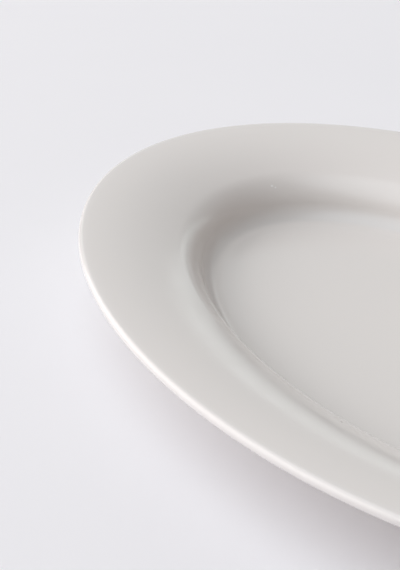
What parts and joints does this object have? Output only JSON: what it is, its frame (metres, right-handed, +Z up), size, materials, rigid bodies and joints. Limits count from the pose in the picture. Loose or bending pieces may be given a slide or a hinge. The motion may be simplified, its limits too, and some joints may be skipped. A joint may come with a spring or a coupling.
{
  "type": "boat-shaped plate",
  "caption": "Long oval porcelain serving plate with a wide rim that rolls over a round shoulder into a flat well, standing on a low oval foot ring.",
  "frame": {"origin": "on the table plane under the middle of the plate", "axes": "+X along the plate's length, +Y across it, +Z up out of the well"},
  "size_m": [0.305, 0.192, 0.0275],
  "materials": {
    "glazed_porcelain": "warm white porcelain under a clear, smooth, glossy glaze",
    "bare_porcelain": "bare fired porcelain, ground flat and slightly rough on the standing face"
  },
  "bodies": {
    "root": {"plate_body": "glazed_porcelain", "foot_ring": "bare_porcelain"}
  },
  "joints": []
}
